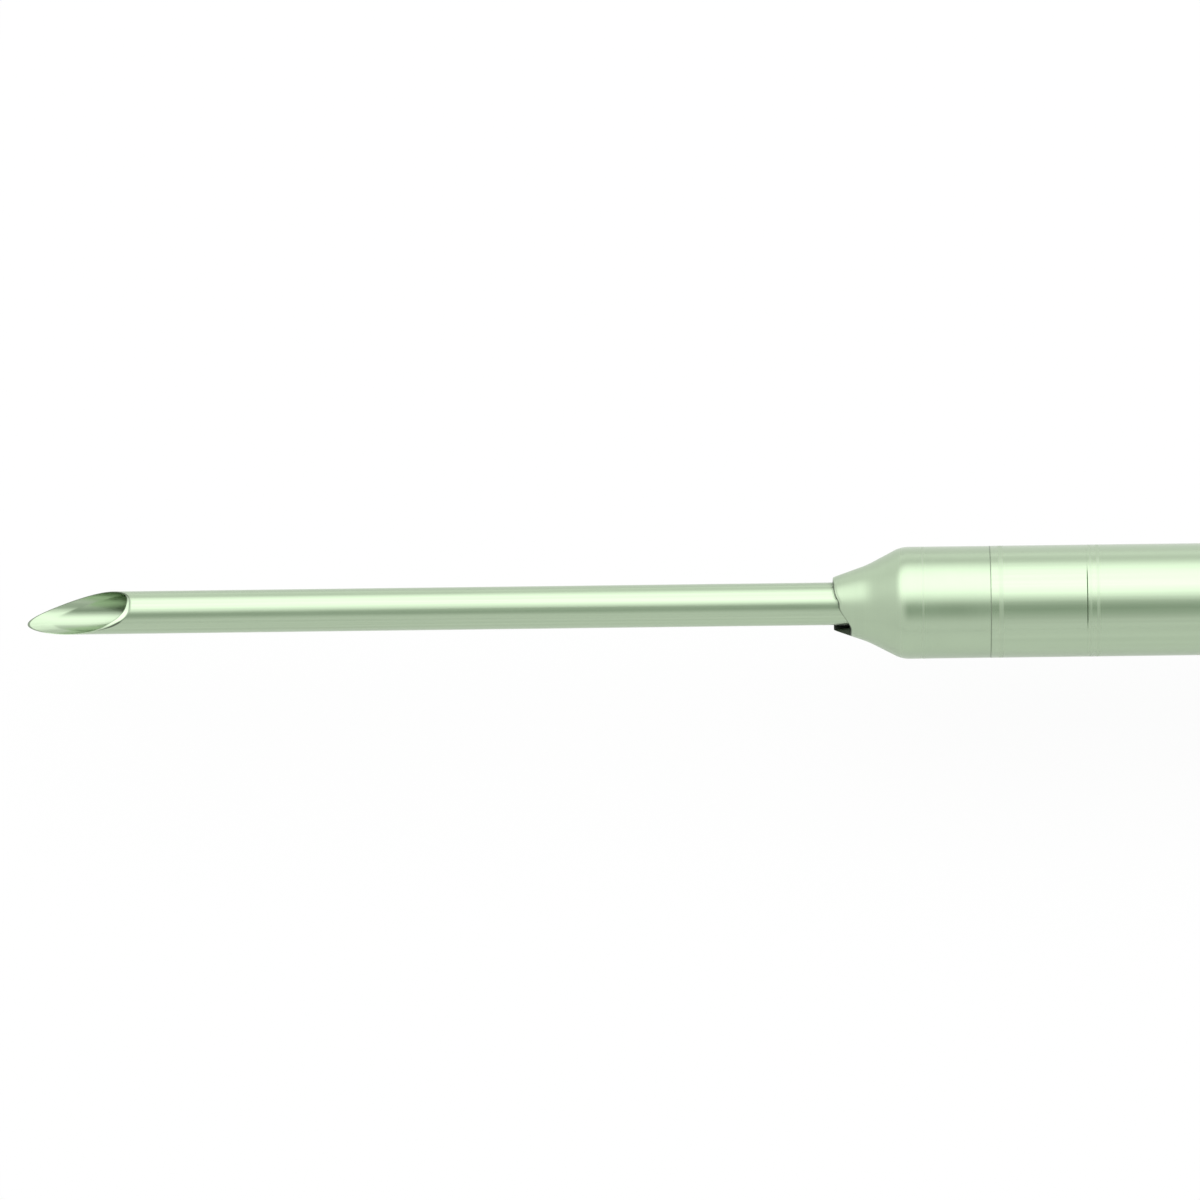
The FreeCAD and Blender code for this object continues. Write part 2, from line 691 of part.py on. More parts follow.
def plug_washer():
    """Dished spring washer that pulls the plug down into its cone."""
    bore = stud_radius + running_gap
    low_z = washer_top_z - washer_dish
    corners = [
        (washer_radius, washer_top_z), (bore, low_z),
        (bore, low_z - washer_thickness), (washer_radius, washer_top_z - washer_thickness),
    ]
    points = [Vector(tap_x + radius, 0, z) for radius, z in corners]
    return Part.Face(Part.makePolygon(points + points[:1])).revolve(Vector(tap_x, 0, 0), Z_AXIS, FULL_TURN)


def plug_nut():
    """Small hexagonal nut on the plug's stud, its lower corners chamfered."""
    base = Vector(tap_x, 0, plug_nut_low_z)
    nut = hexagon(plug_nut_flats, base, plug_nut_height, Z_AXIS)
    half = plug_nut_flats / 2
    chamfer = Part.makeCone(half, half + plug_nut_height, plug_nut_height, base, Z_AXIS)
    return nut.common(chamfer).cut(tap_cylinder(stud_radius + bond_gap, plug_nut_low_z, plug_nut_top_z))


def luer_lug(side_turn):
    """One of the two lugs that a locking collar screws over."""
    start_x = luer_end_x - luer_lug_thickness
    lug = Part.makeCylinder(luer_lug_radius, luer_lug_thickness, Vector(start_x, 0, 0), X_AXIS, luer_lug_sweep)
    lug = lug.cut(cylinder_x((luer_mouth_radius + luer_root_radius) / 2, start_x, luer_end_x))
    return lug.rotate(Vector(), X_AXIS, side_turn - luer_lug_sweep / 2)


def luer_connector():
    """Female connector with the 6 percent cone and two lugs, screwed into the stopcock's rear end."""
    spigot_x = tap_end_x - luer_spigot_length
    throat_x = luer_end_x - luer_depth
    throat_radius = luer_mouth_radius - luer_taper * luer_depth
    body = turned([
        (spigot_x, lumen_radius, 0), (throat_x, lumen_radius, 0), (throat_x, throat_radius, 0),
        (luer_end_x, luer_mouth_radius, 0), (luer_end_x, luer_root_radius, light_edge),
        (luer_hex_x, luer_root_radius, 0), (luer_hex_x, luer_spigot_radius, 0),
        (spigot_x, luer_spigot_radius, light_edge),
    ])
    grip = hexagon(luer_hex_flats, Vector(luer_hex_x, 0, 0), luer_hex_length, X_AXIS)
    grip_radius = luer_hex_flats / 2 / math.cos(math.pi / 6) - luer_hex_trim
    grip = grip.common(sleeve(luer_hex_x, luer_neck_x, luer_spigot_radius, grip_radius, soft_edge))
    return body.fuse([grip, luer_lug(0), luer_lug(180)]).removeSplitter()


def luer_washer():
    """Thin plastic washer that seals the connector against the stopcock."""
    return sleeve(tap_end_x, luer_hex_x, luer_spigot_radius + running_gap, luer_washer_radius)


def write_parts():
    """Build every piece and write it under its own name."""
    makers = [
        needle_cannula, needle_ferrule, inner_tube, travel_stop, guide_pin, hub_sleeve, thumb_disc,
        outer_tube, nose_cone, needle_guide, shaft_collar, collar_o_ring, shaft_nut,
        handle_barrel, finger_flange, gland_seal, gland_washer, lock_nut,
        stopcock_body, stop_pin, stopcock_plug, stopcock_lever, plug_washer, plug_nut,
        luer_connector, luer_washer,
    ]
    pieces = {maker.__name__: maker() for maker in makers}
    for index, name in enumerate(glide_names):
        pieces["glide_ring_" + name] = glide_ring(index)
    os.makedirs("parts", exist_ok=True)
    for name, piece in pieces.items():
        print(f"{name}: {len(piece.Solids)} solid, {piece.Volume:.2f} mm3, valid {piece.isValid()}")
        solid = piece.Solids[0] if len(piece.Solids) == 1 else piece
        solid.exportStep(os.path.join("parts", name + ".step"))


write_parts()
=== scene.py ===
# %% [markdown]
# A laparoscopic aspiration needle
#
# This lesson dresses an exact model of a surgical needle. The working end is a bevelled hollow needle
# that slides out of a 5 mm steel sheath. Behind it come a handle with a slot, a finger flange, two fluted
# nuts, a thumb disc, a stopcock and a Luer connector. The exact solids come first and stay where they
# are. New surfaces replace only the long or curved pieces whose reflections need a finer mesh, and every
# piece then gets a finish of its own. The first cell loads the solids and measures the box that they
# fill.

import bpy
import math
import numpy as np
from mathutils import Matrix, Vector


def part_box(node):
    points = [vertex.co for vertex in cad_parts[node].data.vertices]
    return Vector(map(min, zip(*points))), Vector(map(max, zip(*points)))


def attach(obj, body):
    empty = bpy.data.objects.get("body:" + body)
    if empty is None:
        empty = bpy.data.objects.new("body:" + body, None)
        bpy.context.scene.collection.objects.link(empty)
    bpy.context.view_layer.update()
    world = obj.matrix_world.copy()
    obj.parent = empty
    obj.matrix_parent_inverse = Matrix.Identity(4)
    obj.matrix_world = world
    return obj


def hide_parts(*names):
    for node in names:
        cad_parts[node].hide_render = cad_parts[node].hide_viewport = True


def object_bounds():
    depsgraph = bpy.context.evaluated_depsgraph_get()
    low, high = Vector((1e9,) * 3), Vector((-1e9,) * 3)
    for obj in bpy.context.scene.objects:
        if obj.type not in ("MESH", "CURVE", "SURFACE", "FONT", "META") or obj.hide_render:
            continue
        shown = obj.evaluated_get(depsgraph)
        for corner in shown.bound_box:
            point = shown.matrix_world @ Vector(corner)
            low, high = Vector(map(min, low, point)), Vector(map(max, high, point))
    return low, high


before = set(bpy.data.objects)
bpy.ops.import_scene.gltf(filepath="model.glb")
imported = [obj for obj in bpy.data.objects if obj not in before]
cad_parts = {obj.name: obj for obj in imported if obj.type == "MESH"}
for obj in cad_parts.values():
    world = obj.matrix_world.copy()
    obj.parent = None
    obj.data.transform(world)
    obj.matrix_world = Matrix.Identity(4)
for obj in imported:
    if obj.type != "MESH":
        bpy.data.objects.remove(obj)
model_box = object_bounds()
print("model box in mm:", [[round(1000 * value, 2) for value in corner] for corner in model_box])

# %% [markdown]
# The camera
#
# The photograph looks down on the needle from 60 degrees above the table, square to the shaft. At 22.4
# pixels for a millimetre the picture is 53.6 mm wide. The needle runs downhill to the left by 0.7
# degrees, so the camera is rolled by that much, because the instrument itself stays level. Rings round
# the shaft look almost straight, so the lens is long and the camera far away. A camera could also be
# pushed about by hand until the view looks right, but each of these measures can be checked by itself.

# %% Measures read off the photograph
MM = 0.001
MICROMETRE = 1e-6
pixels_per_mm = 22.4
picture_pixels = 1200
mouth_pixel = 833            # column of the sheath's mouth
picture_drop = 0.298         # mm from the picture's centre down to the shaft's axis
camera_elevation = math.radians(60)
camera_roll = math.radians(-0.72)

picture_width = picture_pixels / pixels_per_mm * MM
mouth_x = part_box("nose_cone")[0].x / MM
centre_x = mouth_x - (mouth_pixel - picture_pixels / 2) / pixels_per_mm
print("the picture is", round(picture_width / MM, 2), "mm wide, centred on x =", round(centre_x, 2), "mm")

# %% [markdown]
# Placing the camera
#
# A camera looks along its own -Z with +Y up, so one rotation turns its +Z to the side that it looks from,
# and the roll comes after. A constraint that tracks a target would do this too, but one matrix is plain
# to read. The distance follows from the lens: the picture's width fills the sensor at width * lens /
# sensor width.

# %% Place the camera
camera_lens = 500            # mm, a very long lens
nearest_seen = 0.01          # m

camera_side = Vector((0, -math.cos(camera_elevation), math.sin(camera_elevation)))
camera_up = Vector((0, math.sin(camera_elevation), math.cos(camera_elevation)))
picture_centre = (Vector((centre_x, 0, 0)) + camera_up * picture_drop) * MM

camera = bpy.data.objects.new("camera", bpy.data.cameras.new("camera"))
bpy.context.scene.collection.objects.link(camera)
camera.data.lens = camera_lens
camera.data.clip_start = nearest_seen
camera_distance = picture_width * camera.data.lens / camera.data.sensor_width
facing = camera_side.to_track_quat("Z", "Y").to_matrix().to_4x4() @ Matrix.Rotation(camera_roll, 4, "Z")
camera.matrix_world = Matrix.Translation(picture_centre + camera_side * camera_distance) @ facing
bpy.context.scene.camera = camera
bpy.context.scene.view_settings.view_transform = "Standard"
print("the camera is", round(camera_distance / MM, 1), "mm away")

# %% [markdown]
# Writing node maths as Python
#
# A finish needs sums on what changes over a surface, such as `0.1 + 0.05 * marks`. Adding each Math node
# by hand hides the sum, and a long list of nodes is hard to read back. So a small class wraps an output
# socket, and its operators add the Math nodes.

# %% Sums of sockets
class Varying:
    """A number that changes over a surface: the output socket of a node."""

    def __init__(self, tree, socket):
        self.tree = tree
        self.socket = socket

    def maths(self, operation, *numbers):
        """The result of a Math node on these numbers, each a plain number or a Varying."""
        node = self.tree.nodes.new("ShaderNodeMath")
        node.operation = operation
        for slot, number in zip(node.inputs, numbers):
            connect(self.tree, slot, number)
        return Varying(self.tree, node.outputs[0])

    def __add__(self, other):
        return self.maths("ADD", self, other)

    def __sub__(self, other):
        return self.maths("SUBTRACT", self, other)

    def __rsub__(self, other):
        return self.maths("SUBTRACT", other, self)

    def __mul__(self, other):
        return self.maths("MULTIPLY", self, other)

    def __pow__(self, other):
        return self.maths("POWER", self, other)

    __radd__ = __add__
    __rmul__ = __mul__

    def step(self, low, high):
        """0 below low, 1 above high, and a smooth rise between them. With low above high it falls."""
        node = self.tree.nodes.new("ShaderNodeMapRange")
        node.interpolation_type = "SMOOTHSTEP"
        for slot, number in zip(node.inputs, (self, low, high, 0.0, 1.0)):
            connect(self.tree, slot, number)
        return Varying(self.tree, node.outputs[0])

    def band(self, low, high, soft):
        """1 between low and high, with edges that reach as far as soft on both sides of each."""
        return self.step(low - soft, low + soft) * self.step(high + soft, high - soft)


def connect(tree, slot, value):
    """Link a Varying to a socket, or set the socket to a plain value."""
    if isinstance(value, Varying):
        tree.links.new(value.socket, slot)
    else:
        slot.default_value = value


print("a Varying knows +, -, * and **, and makes steps and bands")

# %% [markdown]
# Every other kind of node
#
# A noise, a mapping or a shader isn't a sum. Each kind could get a helper of its own, but one method is
# enough: it takes the node's type, then its settings, then the values or links of its sockets.

# %% One way to add any node
class Nodes:
    """A node tree, and one method that adds any kind of node to it."""

    def __init__(self, tree):
        self.tree = tree
        tree.nodes.clear()

    def add(self, kind, settings=None, sockets=None, output=0):
        """Add a node: first its settings, then the values or links of its sockets, by name or number."""
        node = self.tree.nodes.new(kind)
        for name, value in (settings or {}).items():
            setattr(node, name, value)
        for key, value in (sockets or {}).items():
            connect(self.tree, node.inputs[key], value)
        return Varying(self.tree, node.outputs[output]) if node.outputs else node


print("the helpers for nodes are ready")

# %% [markdown]
# Light for polished steel
#
# Polished steel shows its surroundings more than itself, so they are laid out from the reflections in the
# photograph. The bright band on the shaft is a wide soft box overhead. The darker line under it is the
# dim side of the room behind the camera, and the even tone below that is the white table. First come the
# edges of the soft box. Its place follows from angles, because a reflection tells in which direction a
# thing lies and not how far away it is.

# %% Where the soft box lies
lamp_height = 0.6
# Degrees from overhead at each edge: no light at the first angle, and full light from the second
fade_left = (52, 26)
fade_right = (50, 26)
fade_front = (38, -3)
fade_back = (65, 18)


def beside(degrees):
    """Metres from overhead, at the lamp's height, to what is seen at this angle from the upright."""
    return lamp_height * math.tan(math.radians(degrees))


lamp_left = [mouth_x * MM - beside(angle) for angle in fade_left]
lamp_right = [model_box[1].x + beside(angle) for angle in fade_right]
lamp_front = [-beside(angle) for angle in fade_front]
lamp_back = [beside(angle) for angle in fade_back]
print("the soft box begins", round(mouth_x * MM - lamp_left[0], 2), "m ahead of the sheath's mouth")

# %% [markdown]
# The soft box
#
# A soft box is a lamp behind cloth, bright in the middle and fading towards its frame. A plain area lamp
# has hard edges, which polished steel shows as hard lines, and a glowing plane would be one more thing in
# the scene. So the area lamp gets nodes of its own, where four smooth steps are multiplied to fade its
# four edges.

# %% The soft box
lamp_radiance = 1.3
white = (1, 1, 1, 1)

lamp = bpy.data.objects.new("soft_box", bpy.data.lights.new("soft_box", "AREA"))
bpy.context.scene.collection.objects.link(lamp)
lamp.data.shape = "RECTANGLE"
lamp.data.size = lamp_right[0] - lamp_left[0]
lamp.data.size_y = lamp_back[0] - lamp_front[0]
lamp.location = ((lamp_left[0] + lamp_right[0]) / 2, (lamp_front[0] + lamp_back[0]) / 2, lamp_height)
lamp.data.energy = math.pi * lamp_radiance * lamp.data.size * lamp.data.size_y
lamp.visible_camera = False

lamp.data.use_nodes = True
cloth = Nodes(lamp.data.node_tree)
place = cloth.add("ShaderNodeNewGeometry", output="Position")
lamp_x, lamp_y = [cloth.add("ShaderNodeSeparateXYZ", None, {0: place}, output=axis) for axis in "XY"]
glow_along = lamp_x.step(*lamp_left) * lamp_x.step(*lamp_right)
glow = glow_along * lamp_y.step(*lamp_front) * lamp_y.step(*lamp_back)
lit = cloth.add("ShaderNodeEmission", None, {"Color": white, "Strength": glow})
cloth.add("ShaderNodeOutputLight", None, {"Surface": lit})
print("soft box", round(lamp.data.size, 2), "by", round(lamp.data.size_y, 2), "m")

# %% [markdown]
# The room
#
# The room round the table is pale, with one dim side behind the camera and a far wall that is brighter
# low down, where the table lights it. A photograph of a studio could be wrapped round the scene, but it
# would be a file to read, and hard to adjust. A few gradients in the world hold all that the reflections
# show. The camera itself sees plain white, and matt surfaces get less of the room's light than metal
# shows.

# %% The room, with its dim side behind the camera
dim_elevation = math.radians(45)
dim_direction = (0, -math.cos(dim_elevation), math.sin(dim_elevation))
dim_reach = math.radians(32) # it has faded this far from its middle
dim_colour = (0.44, 0.51, 0.44)
far_glow = 0.28              # how much brighter the far wall is near the table
far_rise = (0.2, 0.8)        # it is reached between these shares of the way to the far side
far_fall = (0.45, 0.08)      # and fades between these shares of the way up
room_fill = 0.6              # share of the room's light that falls on matt surfaces


def shown_rays(nodes):
    """1 for rays from the camera, and 1 for those and the rays that metal or glass passes on."""
    camera_ray = nodes.add("ShaderNodeLightPath", output="Is Camera Ray")
    glossy_ray = nodes.add("ShaderNodeLightPath", output="Is Glossy Ray")
    through_ray = nodes.add("ShaderNodeLightPath", output="Is Transmission Ray")
    return camera_ray, camera_ray.maths("MINIMUM", camera_ray + glossy_ray + through_ray, 1.0)


world = bpy.data.worlds.new("room")
bpy.context.scene.world = world
world.use_nodes = True
room = Nodes(world.node_tree)
direction = room.add("ShaderNodeTexCoord", output="Generated")
towards_dim = room.add("ShaderNodeVectorMath", {"operation": "DOT_PRODUCT"},
                       {0: direction, 1: dim_direction}, output="Value")
off_centre = towards_dim.maths("ARCCOSINE", towards_dim)
far_side, upward = [room.add("ShaderNodeSeparateXYZ", None, {0: direction}, output=axis) for axis in "YZ"]
far_wall = 1 + far_glow * far_side.step(*far_rise) * upward.step(*far_fall)
camera_ray, shown = shown_rays(room)
strength = camera_ray + (1 - camera_ray) * far_wall * (room_fill + (1 - room_fill) * shown)
dimness = off_centre.step(dim_reach, 0.0) * (1 - camera_ray)
wall_colour = room.add("ShaderNodeMix", {"data_type": "RGBA"},
                       {0: dimness, 6: white, 7: (*dim_colour, 1)}, output=2)
background = room.add("ShaderNodeBackground", None, {"Color": wall_colour, "Strength": strength})
room.add("ShaderNodeOutputWorld", None, {"Surface": background})
print("the room has", len(world.node_tree.nodes), "nodes")

# %% [markdown]
# The white table
#
# The photograph's ground is plain white. More light would make it so, but would wash the steel out too.
# So rays from the camera see mostly plain white here, reflected rays see a share of it, and all others
# see matt paint, which keeps the object's shadow. The instrument lies on the flat edge of its finger
# flange, so the table is level with the lowest point of the model.

# %% The white table
floor_half = 3.0
floor_white = 0.92           # share of the floor that shows plain white to the camera
floor_mirror = 0.3           # and the share that does in metal
floor_paint = (0.9, 0.9, 0.9, 1)
floor_corners = ((-1, -1), (1, -1), (1, 1), (-1, 1))

floor_z = model_box[0].z
floor_mesh = bpy.data.meshes.new("floor")
floor_places = [(x * floor_half, y * floor_half, floor_z) for x, y in floor_corners]
floor_mesh.from_pydata(floor_places, [], [(0, 1, 2, 3)])
floor = bpy.data.objects.new("floor", floor_mesh)
bpy.context.scene.collection.objects.link(floor)

table_material = bpy.data.materials.new("white_table")
table_material.use_nodes = True
table = Nodes(table_material.node_tree)
matt = table.add("ShaderNodeBsdfDiffuse", None, {"Color": floor_paint})
plain = table.add("ShaderNodeEmission", None, {"Color": white, "Strength": 1.0})
camera_ray, shown = shown_rays(table)
plain_share = camera_ray * floor_white + (shown - camera_ray) * floor_mirror
floor_look = table.add("ShaderNodeMixShader", None, {0: plain_share, 1: matt, 2: plain})
table.add("ShaderNodeOutputMaterial", None, {"Surface": floor_look})
table_material.cycles.emission_sampling = "NONE"
floor_mesh.materials.append(table_material)
print("table at", round(floor_z / MM, 2), "mm, the level of the flange's flat edge")

# %% [markdown]
# Rings of metal as arrays
#
# The needle, the nose and the tubes are all walls that close on themselves: an outside, an inside and two
# ends. Boolean cuts would give ragged triangles that show in a reflection. Instead a profile of (x,
# radius) corners is carried round the shaft, and every column of the grid may have corners of its own.
# That is how a slanted point or lip is made without a cut. Each corner is eased, because a real edge is
# never perfectly sharp and catches the light.

# %% Ease the corners of a profile
def ease(corners, edges, steps=4, support=2.5):
    """Rows for each corner P of a closed profile, with neighbours A and B and an edge of size e.

    The edge is the curve (1-t)^2 (P + e a) + 2t(1-t) P + t^2 (P + e b), where a and b are unit vectors from
    P to A and to B and t runs from 0 to 1. One more row on each side, support times e away, keeps the walls
    flat. Corners are (corner, column, 2) in mm, and the rows come back as (corner, row, column, 2). An edge
    may have one size, or one for each column.
    """
    edges = [np.broadcast_to(np.asarray(edge, float), corners.shape[1]) for edge in edges]
    edges = np.stack(edges)[..., None]
    before = np.roll(corners, 1, axis=0) - corners
    after = np.roll(corners, -1, axis=0) - corners
    before = before / np.linalg.norm(before, axis=-1, keepdims=True) * edges
    after = after / np.linalg.norm(after, axis=-1, keepdims=True) * edges
    t = np.linspace(0, 1, steps + 1)[None, :, None, None]
    curve = (1 - t) ** 2 * (corners + before)[:, None] + 2 * t * (1 - t) * corners[:, None]
    curve = curve + t ** 2 * (corners + after)[:, None]
    first = (corners + support * before)[:, None]
    last = (corners + support * after)[:, None]
    return np.concatenate([first, curve, last], axis=1)


def columns(count):
    """Angles of the columns round the shaft, from +Y towards +Z."""
    return np.arange(count) * (2 * math.pi / count)


def level(corners, count):
    """The same (x, radius) corners in every column, for a piece that is simply turned."""
    return np.repeat(np.array(corners, float)[:, None], count, axis=1)


print("an eased corner has", ease(level([(0, 1), (1, 1), (1, 0.5)], 3), [0.1] * 3).shape[1], "rows")

# %% [markdown]
# From rows to a mesh
#
# Blender's Screw modifier turns a profile too, but gives every column the same one. Here the points and
# the faces are whole arrays. A face joins a point to its neighbours in the next column and the next row,
# and both directions close on themselves, so the wall has no open edge. Marks on the points tell the
# finish where the metal was ground, where an edge draws a fine dark line, and where shade or a highlight
# is painted into the colour.

# %% Make the mesh
def carry_round(name, rows, body, node, marks=None):
    """Closed ring from rows (row, column, 2) of x and radius in mm: point = (x, radius cos a, radius sin a).

    The profile runs front to rear outside and back inside, so the faces point outwards. marks are arrays
    with a value for each row and column, which the finish can read by name.
    """
    row_count, column_count = rows.shape[:2]
    angle = columns(column_count)
    x, radius = rows[..., 0], rows[..., 1]
    points = np.stack([x, radius * np.cos(angle), radius * np.sin(angle)], axis=-1) * MM
    index = np.arange(row_count * column_count).reshape(row_count, column_count)
    across = np.roll(index, -1, axis=1)
    quads = np.stack([index, across, np.roll(across, -1, axis=0), np.roll(index, -1, axis=0)], axis=-1)
    mesh = bpy.data.meshes.new(name)
    mesh.from_pydata(points.reshape(-1, 3).tolist(), [], quads.reshape(-1, 4).tolist())
    mesh.shade_smooth()
    for mark, values in (marks or {}).items():
        attribute = mesh.attributes.new(mark, "FLOAT", "POINT")
        attribute.data.foreach_set("value", values.astype(np.float32).ravel())
    piece = bpy.data.objects.new(name, mesh)
    bpy.context.scene.collection.objects.link(piece)
    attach(piece, body)
    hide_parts(node)
    print(name, "has", 2 * len(mesh.polygons), "triangles")
    return piece


print("a grid of 4 rows and 6 columns makes", 4 * 6, "faces, as both directions close")

# %% [markdown]
# Smooth stretches round the shaft
#
# The ground face, the lip and the scribed ring all change with the angle round the shaft, and none of
# them starts with a jump. A smooth step is the simplest curve that is level at both ends. Two of them,
# one rising and one falling, make a sector: a stretch that is full in its middle and fades on both sides.

# %% Smooth steps and sectors
def smooth(value, low, high):
    """0 below low, 1 above high, and 3t^2 - 2t^3 between them. With low above high it falls."""
    t = np.clip((value - low) / (high - low), 0, 1)
    return t * t * (3 - 2 * t)


def sector(degrees, begins, full, still_full, ends):
    """1 round the shaft from full to still_full, with a smooth rise before and a smooth fall after."""
    return smooth(degrees, begins, full) * smooth(degrees, ends, still_full)


print("half way up a sector's rise it is", float(sector(50, 0, 100, 200, 300)))

# %% [markdown]
# The hollow needle
#
# The point is ground on the rim of a wheel, which leaves a slightly dished face. A flat cut would look
# too straight from the side, and a cylinder cut away from the tube would leave slivers at the thin edge.
# Along each column the wall simply starts where the wheel left it: at height z that is x = wheel centre +
# sqrt(R^2 - (z - centre height)^2). So the point, the ground face and the heel all come out of one
# formula.

# %% Where the wheel left the needle's wall
needle_radius = 0.95
needle_bore = 0.825
bevel_length = 4.64
wheel_radius = 12.0

point_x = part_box("needle_cannula")[0].x / MM
needle_rear_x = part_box("needle_cannula")[1].x / MM
tip = np.array([point_x, -needle_radius])
heel = np.array([point_x + bevel_length, needle_radius])
chord = heel - tip
upwards = np.array([-chord[1], chord[0]]) / np.linalg.norm(chord)
wheel = (tip + heel) / 2 + upwards * math.sqrt(wheel_radius ** 2 - chord @ chord / 4)


def wall_start(radius, angle):
    """Where the wheel left the wall at this radius and angle."""
    height = radius * np.sin(angle)
    return wheel[0] + np.sqrt(wheel_radius ** 2 - (height - wheel[1]) ** 2)


heel_x = float(wall_start(needle_radius, math.pi / 2))
print("the wall at the top starts", round(heel_x - point_x, 2), "mm behind the point")

# %% [markdown]
# The ground edge
#
# The bore is reamed towards the edge, so the ground face is only a fine line, and it is finest at the
# point. At the heel on the near side it keeps the wall's full width and shines, with a painted highlight
# in its colour, and its outer edge is blunted, so that the needle doesn't punch out a core of tissue.
# These stretches could be separate pieces of mesh, but they blend into each other, so each is a sector,
# in degrees from +Y towards +Z.

# %% Stretches of the edge
needle_columns = 320
round_needle = columns(needle_columns)
needle_degrees = np.degrees(round_needle)
full_wall = sector(needle_degrees, 55, 100, 150, 185)         # the ground face has the wall's full width
# Along the edges the colour gets a fine dark line of painted shade, except on this stretch, and a paler one
# on the next
fine_line = 1 - sector(needle_degrees, 166, 184, 228, 246)    # the edge draws a fine dark line, but not here
pale_line = sector(needle_degrees, 60, 80, 135, 150)          # and the line is paler here
blunted = sector(needle_degrees, 92, 136, 160, 182)           # the outer edge is ground further back
dark_end = sector(needle_degrees, 142, 154, 162, 172)         # and rounder here, which shows the dim room
thin_point = sector(needle_degrees, 200, 250, 290, 340)       # the wall is thinnest
print("the wall keeps its full width over", round(float(full_wall.mean()) * 360), "degrees")

# %% [markdown]
# Corners of the needle's wall
#
# The profile has five corners: the outer edge of the ground face, the rear outside, the rear inside, the
# place where the reaming meets the bore, and the inner edge of the ground face. The wheel's formula gives
# the x of three of them from their radius, so a thinner rim moves its corner back by itself.

# %% The needle's corners
rim_radius = 0.918
ream_length = 1.0
point_thinning = 0.015
heel_blunting = 0.17         # how much further back the heel's outer edge is ground on the near side

outside = np.full(needle_columns, needle_radius)
inside = np.full(needle_columns, needle_bore)
rear = np.full(needle_columns, needle_rear_x)
rim = rim_radius - (rim_radius - needle_bore) * full_wall + point_thinning * thin_point
needle_corners = np.array([
    np.stack([wall_start(outside, round_needle) + heel_blunting * blunted, outside], axis=-1),
    np.stack([rear, outside], axis=-1),
    np.stack([rear, inside], axis=-1),
    np.stack([wall_start(rim, round_needle) + ream_length, inside], axis=-1),
    np.stack([wall_start(rim, round_needle), rim], axis=-1),
])
face_width = np.linalg.norm(needle_corners[0] - needle_corners[4], axis=-1)
print("the ground face is", face_width.min().round(3), "to", face_width.max().round(3), "mm wide")

# %% [markdown]
# The needle's edges and marks
#
# The edges are fine all round, larger where the wall is full, and largest at the blunted heel's dark end.
# A Bevel modifier has one width for all of them. The marks are set row by row: a dark line of painted
# shade on the rows of the two edges, the ground face with its painted highlight on the rows between
# them, and the bore on the rows inside. Painted vertex colours would need a hand, and come out
# differently each time.

# %% The needle
rear_edge = 0.01
ream_edge = 0.12
# The two edges of the ground face take no more than a share of its width, so that they never meet
outer_edge = np.minimum(0.014 + 0.016 * full_wall + 0.02 * dark_end, 0.2 * face_width)
inner_edge = np.minimum(0.009 + 0.01 * full_wall, 0.18 * face_width)
needle_rows = ease(needle_corners, [outer_edge, rear_edge, rear_edge, ream_edge, inner_edge])

# Corner 0 is the outer edge and corner 4 the inner one, with the ground face between them
corner_count, row_count = needle_rows.shape[:2]
edge_shade_mark, ground_face_and_highlight_mark, bore_mark = np.zeros((3, corner_count, row_count, needle_columns))
# The edge rows are coloured dark, as painted shade, and the ground face lighter where the wall is full, as a
# painted highlight
edge_shade_mark[0, 1:-1] = fine_line * (1 - 0.6 * pale_line)
edge_shade_mark[0, 0] = edge_shade_mark[4, -1] = 0.8 * fine_line * (1 - full_wall)
edge_shade_mark[4, 1:-1] = 0.8 * fine_line
ground_face_and_highlight_mark[0, 0] = ground_face_and_highlight_mark[4, -1] = full_wall
bore_mark[2, row_count // 2 + 1:] = bore_mark[3] = bore_mark[4, 0] = 1
needle_marks = {"dark_line_and_shade": edge_shade_mark, "ground_face_and_highlight": ground_face_and_highlight_mark, "bore": bore_mark}
needle = carry_round("hollow_needle", needle_rows.reshape(-1, needle_columns, 2), "needle", "needle_cannula",
                     needle_marks)
print("thinnest wall at the edge", round(needle_radius - float(rim.max()), 3), "mm")

# %% [markdown]
# The nose of the sheath
#
# The tube closes down on the needle in two cones, the steeper one nearer the tube, with a soft blend at
# each bend. The same curve that eases an edge also makes these blends, only larger. A subdivided cage
# would give soft bends too, but their size couldn't be read off the photograph so directly.

# %% The nose's outline
sheath_radius = 2.5
sheath_bore = 2.1
lip_radius = 1.18
mouth_bore = 1.08
cone_bend = (1.55, 1.72)     # (distance from the mouth, radius) where the gentle cone meets the steep one
cone_end = 3.05
straight_end = 6.0
bend_size, shoulder_size = 0.30, 0.34

outline_corners = [(0, lip_radius), cone_bend, (cone_end, sheath_radius), (straight_end, sheath_radius)]
outline_edges = [0.01, bend_size, shoulder_size, 0.01]
blends = ease(level(outline_corners, 1), outline_edges, steps=12, support=1.5)[1:3].reshape(-1, 2)
outline_x = np.concatenate([[0], blends[:, 0], [straight_end]])
outline_radius = np.concatenate([[lip_radius], blends[:, 1], [sheath_radius]])
print("the outline has", len(outline_x), "points, from radius", lip_radius, "to", sheath_radius, "mm")

# %% [markdown]
# The ground lip
#
# The lip at the mouth is thin and rounded. One side of it is ground back on a slant by hand, a little
# wavy, so the dark gap round the needle shows there. Sculpting could do this, but a formula keeps the
# wall as thin as the real one. The lip's outer corner moves back along the cone and so gets wider, and
# its new radius changes the set-back again, so the two are worked out in turn a few times, until they
# agree.

# %% How far the lip is set back
relief_turn = math.radians(70)          # direction across the mouth, from +Y towards +Z
relief_depth = 0.76
relief_start, relief_end = 1.15, -0.35  # across the mouth, where the slant begins and is full
relief_far_side = -1.16                 # and where it ends
relief_blend = 0.05
wave_depth, wave_place, wave_width = 0.13, 0.85, 0.19
settling_rounds = 6
nose_columns = 384


